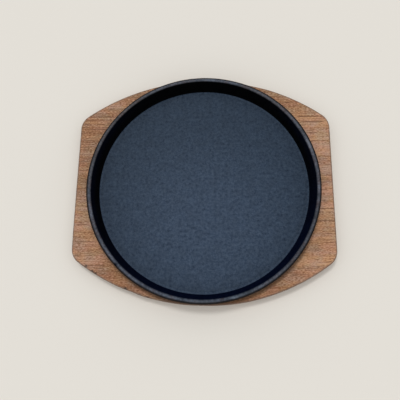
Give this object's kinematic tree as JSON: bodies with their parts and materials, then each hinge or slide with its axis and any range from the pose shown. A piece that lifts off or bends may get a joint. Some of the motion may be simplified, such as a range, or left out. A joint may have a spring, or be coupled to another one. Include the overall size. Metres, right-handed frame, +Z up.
{
  "type": "round cast iron grill plate",
  "caption": "Round cast iron grill plate with a leaning raised wall and a flat lip, resting in the round recess of a barrel-shaped wooden board.",
  "frame": {"origin": "centre of the board's underside, under the plate's centre", "axes": "+Z up, +X along the long side and the grain of the board, +Y towards one of its curved ends"},
  "size_m": [0.2678, 0.243, 0.0228],
  "materials": {
    "cast_iron": "matt seasoned casting, finely grained, blue-black",
    "wood": "satin reddish brown wood with fine straight grain"
  },
  "bodies": {
    "root": {"grill_plate": "cast_iron", "wooden_board": "wood"}
  },
  "joints": []
}
